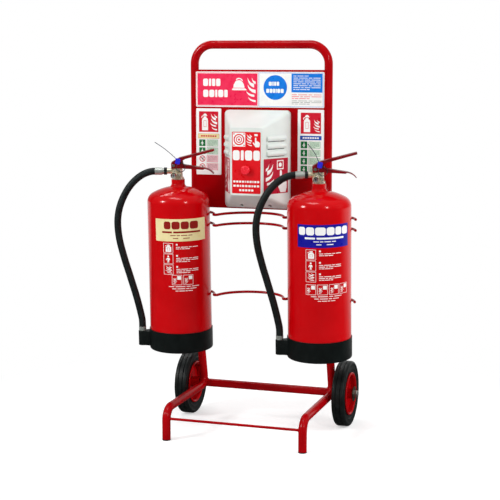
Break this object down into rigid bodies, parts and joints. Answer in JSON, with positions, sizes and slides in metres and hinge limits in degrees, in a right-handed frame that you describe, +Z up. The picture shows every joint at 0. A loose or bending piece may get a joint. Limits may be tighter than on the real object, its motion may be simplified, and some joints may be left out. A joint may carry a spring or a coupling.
{
  "type": "fire extinguisher trolley",
  "caption": "Wheeled tube trolley that carries foam and powder fire extinguishers, a push-button alarm and fire point signs, with working levers, pins, button and wheels.",
  "frame": {"origin": "floor level, middle of the trolley's bounding box without the hoses", "axes": "+Z up, -Y towards the person facing the signs, +X to that person's right"},
  "size_m": [0.7256, 0.4366, 1.1705],
  "materials": {
    "frame_red": "gloss powder coat",
    "zinc_steel": "zinc plated",
    "sign_board": "printed rigid plastic",
    "black_plastic": "moulded, satin",
    "alarm_white": "moulded",
    "battery_grey": "shrink sleeve",
    "board_green": "solder resist",
    "button_red": "moulded",
    "tyre_rubber": "solid rubber",
    "bush": "turned",
    "cylinder_red": "gloss powder coat",
    "valve_nickel": "nickel plated",
    "gauge_case": "plated",
    "needle_black": "printed",
    "dip_plastic": "extruded",
    "lever_red": "gloss powder coat",
    "seal_blue": "moulded",
    "hose_rubber": "moulded"
  },
  "bodies": {
    "trolley": {"frame_tube": "frame_red", "axle_tube": "frame_red", "axle": "zinc_steel", "front_tie_rod": "frame_red", "upper_hanger_rod": "frame_red", "middle_cradle_rod": "frame_red", "lower_cradle_rod": "frame_red", "hanger_hooks": "frame_red", "back_panel": "frame_red", "header_sign": "sign_board", "foam_id_sign": "sign_board", "powder_id_sign": "sign_board", "leg_end_plugs": "black_plastic", "axle_end_caps": "zinc_steel", "alarm_backplate": "black_plastic", "alarm_cover": "alarm_white", "alarm_sounder": "black_plastic", "alarm_battery": "battery_grey", "alarm_circuit_board": "board_green", "alarm_button_spring": "zinc_steel", "alarm_screws": "zinc_steel"},
    "left_wheel": {"left_tyre": "tyre_rubber", "left_wheel_rim": "frame_red", "left_wheel_bush": "bush"},
    "right_wheel": {"right_tyre": "tyre_rubber", "right_wheel_rim": "frame_red", "right_wheel_bush": "bush"},
    "alarm_button": {"alarm_button": "button_red"},
    "foam_extinguisher": {"foam_cylinder": "cylinder_red", "foam_base_boot": "black_plastic", "foam_valve_body": "valve_nickel", "foam_dip_tube": "dip_plastic", "foam_gauge": "gauge_case", "foam_carry_handle": "lever_red", "foam_lever_pivot": "zinc_steel", "foam_stem_spring": "zinc_steel", "foam_hose": "hose_rubber", "foam_hose_ferrules": "zinc_steel", "foam_nozzle": "black_plastic"},
    "foam_lever": {"foam_squeeze_lever": "lever_red"},
    "foam_stem": {"foam_valve_stem": "zinc_steel"},
    "foam_pin": {"foam_safety_pin": "zinc_steel", "foam_tamper_seal": "seal_blue"},
    "foam_needle": {"foam_gauge_needle": "needle_black"},
    "powder_extinguisher": {"powder_cylinder": "cylinder_red", "powder_base_boot": "black_plastic", "powder_valve_body": "valve_nickel", "powder_dip_tube": "dip_plastic", "powder_gauge": "gauge_case", "powder_carry_handle": "lever_red", "powder_lever_pivot": "zinc_steel", "powder_stem_spring": "zinc_steel", "powder_hose": "hose_rubber", "powder_hose_ferrules": "zinc_steel", "powder_nozzle": "black_plastic"},
    "powder_lever": {"powder_squeeze_lever": "lever_red"},
    "powder_stem": {"powder_valve_stem": "zinc_steel"},
    "powder_pin": {"powder_safety_pin": "zinc_steel", "powder_tamper_seal": "seal_blue"},
    "powder_needle": {"powder_gauge_needle": "needle_black"}
  },
  "joints": [
    {"name": "left_wheel_spin", "type": "hinge", "parent": "trolley", "child": "left_wheel", "pos_m": [-0.2525, 0.11825, 0.1], "axis": [1, 0, 0], "continuous": true},
    {"name": "right_wheel_spin", "type": "hinge", "parent": "trolley", "child": "right_wheel", "pos_m": [0.2525, 0.11825, 0.1], "axis": [1, 0, 0], "continuous": true},
    {"name": "alarm_button_press", "type": "slide", "parent": "trolley", "child": "alarm_button", "axis": [0, 1, 0], "range_m": [0, 0.004], "stiffness_N_per_m": 400, "springref_m": -0.002, "deforming": ["alarm_button_spring"]},
    {"name": "foam_lift", "type": "slide", "parent": "trolley", "child": "foam_extinguisher", "axis": [0, -0.0385, 0.9993], "range_m": [0, 0.09]},
    {"name": "foam_squeeze", "type": "hinge", "parent": "foam_extinguisher", "child": "foam_lever", "pos_m": [-0.22841, -0.08003, 0.80402], "axis": [-0.309, 0.9504, 0.0366], "range_deg": [0, 14], "stiffness_Nm_per_rad": 2, "springref_deg": -14.9},
    {"name": "foam_stem_press", "type": "slide", "parent": "foam_extinguisher", "child": "foam_stem", "axis": [0, 0.0385, -0.9993], "range_m": [0, 0.0042], "deforming": ["foam_stem_spring"]},
    {"name": "foam_pin_pull", "type": "slide", "parent": "foam_extinguisher", "child": "foam_pin", "axis": [0.309, -0.9504, -0.0366], "range_m": [0, 0.045]},
    {"name": "foam_needle_swing", "type": "hinge", "parent": "foam_extinguisher", "child": "foam_needle", "pos_m": [-0.21819, -0.10717, 0.77546], "axis": [0.309, -0.9504, -0.0366], "range_deg": [-60, 60]},
    {"name": "powder_lift", "type": "slide", "parent": "trolley", "child": "powder_extinguisher", "axis": [0, -0.0385, 0.9993], "range_m": [0, 0.09]},
    {"name": "powder_squeeze", "type": "hinge", "parent": "powder_extinguisher", "child": "powder_lever", "pos_m": [0.20559, -0.08003, 0.80402], "axis": [-0.309, 0.9504, 0.0366], "range_deg": [0, 14], "stiffness_Nm_per_rad": 2, "springref_deg": -14.9},
    {"name": "powder_stem_press", "type": "slide", "parent": "powder_extinguisher", "child": "powder_stem", "axis": [0, 0.0385, -0.9993], "range_m": [0, 0.0042], "deforming": ["powder_stem_spring"]},
    {"name": "powder_pin_pull", "type": "slide", "parent": "powder_extinguisher", "child": "powder_pin", "axis": [0.309, -0.9504, -0.0366], "range_m": [0, 0.045]},
    {"name": "powder_needle_swing", "type": "hinge", "parent": "powder_extinguisher", "child": "powder_needle", "pos_m": [0.21581, -0.10717, 0.77546], "axis": [0.309, -0.9504, -0.0366], "range_deg": [-60, 60]}
  ],
  "couplings": [
    {"joint": "foam_stem_press", "follows": "foam_squeeze", "m_per_rad": 0.016},
    {"joint": "powder_stem_press", "follows": "powder_squeeze", "m_per_rad": 0.016}
  ]
}
